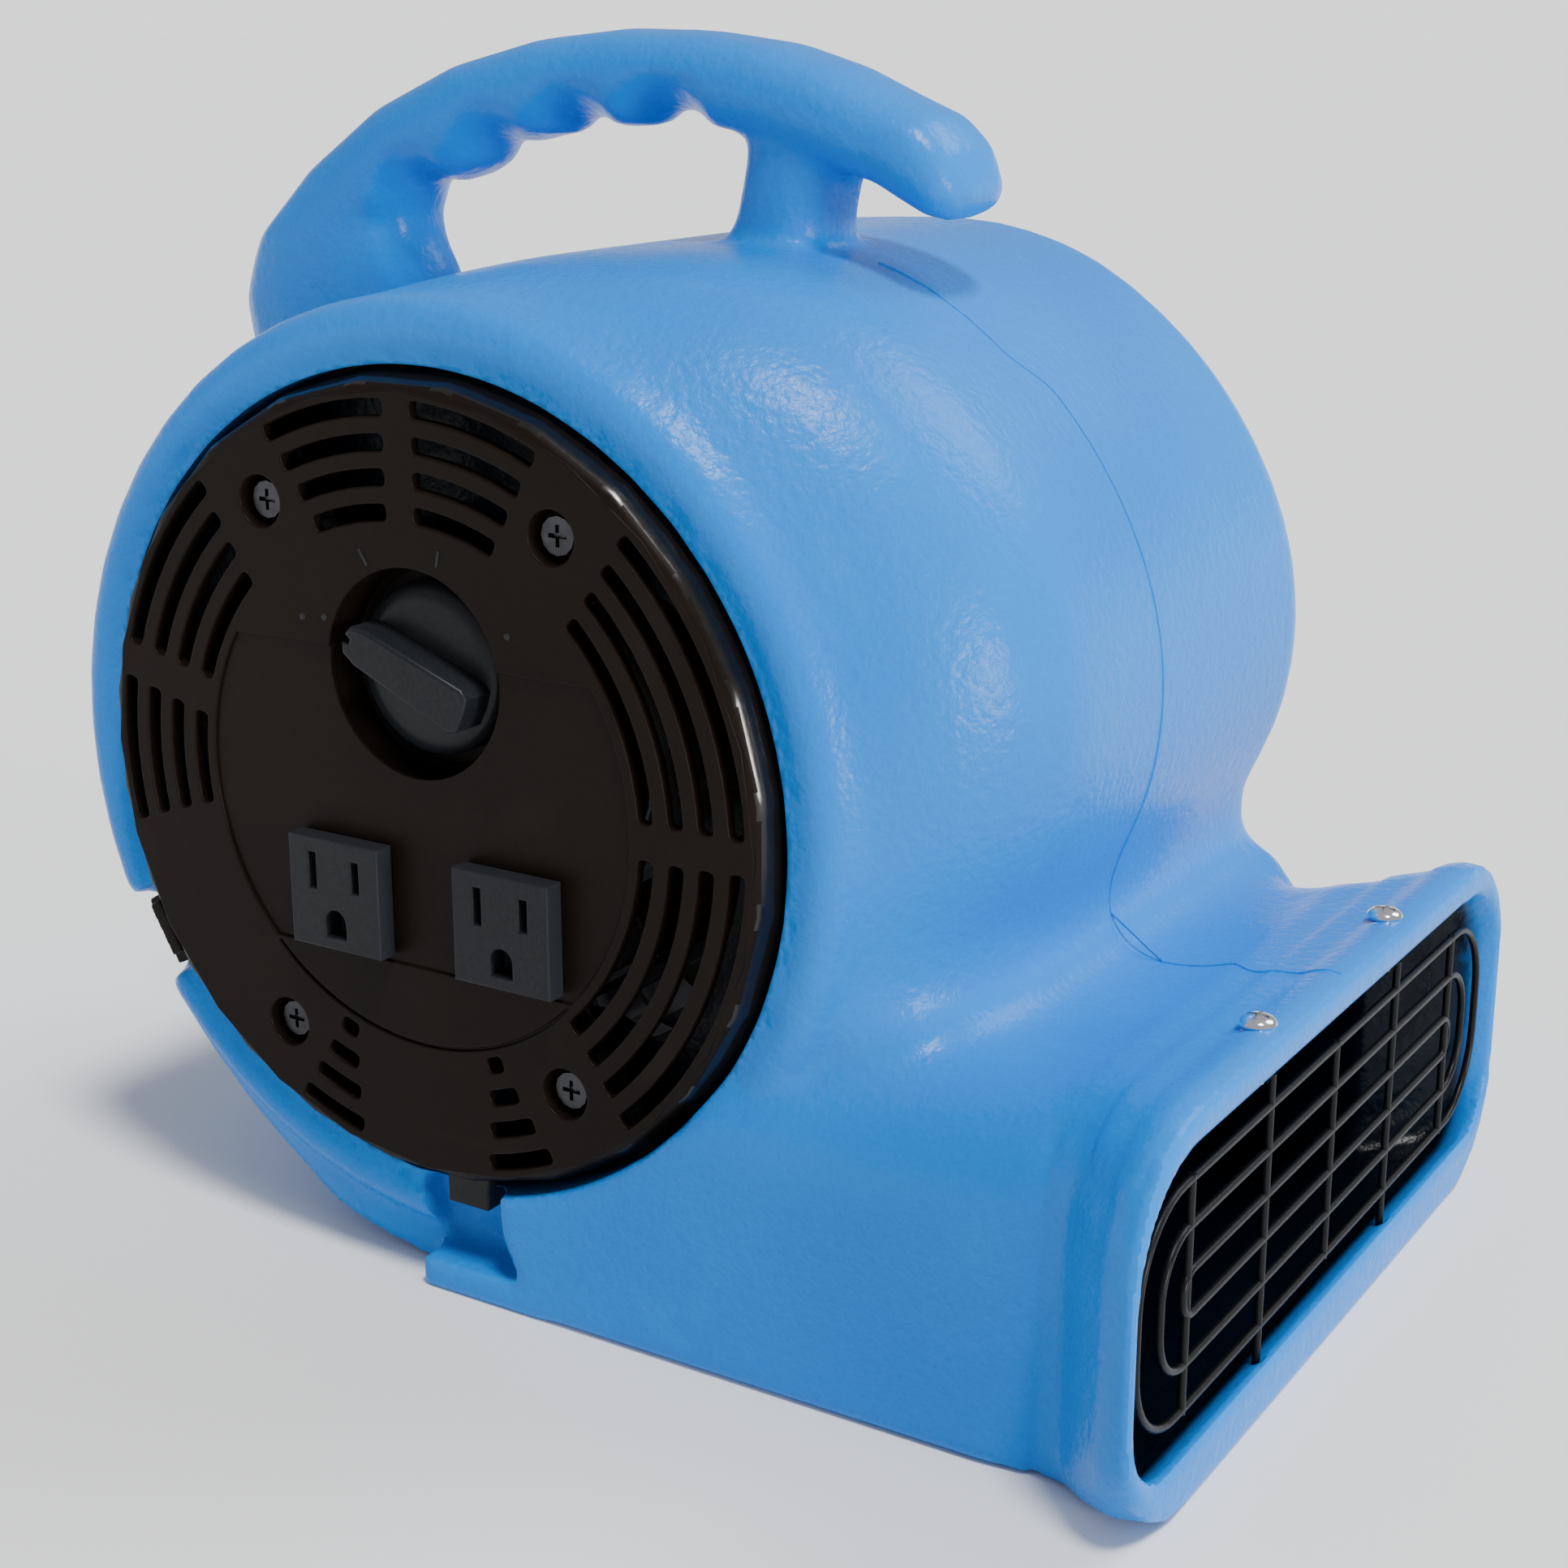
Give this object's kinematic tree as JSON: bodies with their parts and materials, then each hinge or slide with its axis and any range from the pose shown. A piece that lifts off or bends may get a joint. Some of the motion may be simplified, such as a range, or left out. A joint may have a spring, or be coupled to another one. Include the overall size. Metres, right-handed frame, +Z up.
{
  "type": "air mover",
  "caption": "Small floor blower: scroll drum on a flat base, carrying handle, control cover with switch and outlets, flared duct with a wire guard.",
  "frame": {"origin": "middle of the bounding box, at the floor the base stands on", "axes": "+Z up; +X the way the air leaves the duct; -Y the side with the control cover; drum and fan axis along Y"},
  "size_m": [0.3118, 0.226, 0.287],
  "materials": {
    "blue_pe": "satin moulded polyethylene with a fine orange-peel texture",
    "black_abs": "semi-gloss moulded",
    "charcoal_abs": "satin moulded",
    "chrome": "plated",
    "dark_steel": "blackened",
    "zinc_steel": "zinc plated",
    "coated_wire": "black powder coat over steel wire",
    "cast_alloy": "as cast",
    "rubber": "matte",
    "nylon": "moulded, glass filled"
  },
  "bodies": {
    "frame": {"housing": "blue_pe", "control_cover": "black_abs", "far_cover": "black_abs", "cover_screw_1": "dark_steel", "cover_screw_2": "dark_steel", "cover_screw_3": "dark_steel", "cover_screw_4": "dark_steel", "far_screw_1": "dark_steel", "far_screw_2": "dark_steel", "far_screw_3": "dark_steel", "far_screw_4": "dark_steel", "switch_body": "nylon", "switch_nut": "zinc_steel", "receptacle_left": "charcoal_abs", "receptacle_right": "charcoal_abs", "cord_gland": "rubber", "edge_clip": "black_abs", "motor_bracket": "zinc_steel", "motor_grommet_1": "rubber", "motor_grommet_2": "rubber", "motor_grommet_3": "rubber", "motor_grommet_4": "rubber", "motor_bolt_1": "zinc_steel", "motor_bolt_2": "zinc_steel", "motor_bolt_3": "zinc_steel", "motor_bolt_4": "zinc_steel", "motor_bell_near": "cast_alloy", "motor_bell_far": "cast_alloy", "stator": "zinc_steel", "bearing_near": "zinc_steel", "bearing_far": "zinc_steel", "inlet_ring": "black_abs", "capacitor": "charcoal_abs", "outlet_guard": "coated_wire", "guard_screw_1": "chrome", "guard_screw_2": "chrome"},
    "selector": {"knob": "charcoal_abs", "switch_shaft": "zinc_steel"},
    "blower_wheel": {"wheel": "nylon", "wheel_set_screw": "zinc_steel", "motor_shaft": "zinc_steel", "rotor": "cast_alloy"}
  },
  "joints": [
    {"name": "knob_turn", "type": "hinge", "parent": "frame", "child": "selector", "pos_m": [-0.0316, -0.085, 0.15], "axis": [0, 1, 0], "range_deg": [0, 135]},
    {"name": "wheel_spin", "type": "hinge", "parent": "frame", "child": "blower_wheel", "pos_m": [-0.0331, 0, 0.122], "axis": [0, 1, 0], "continuous": true}
  ]
}
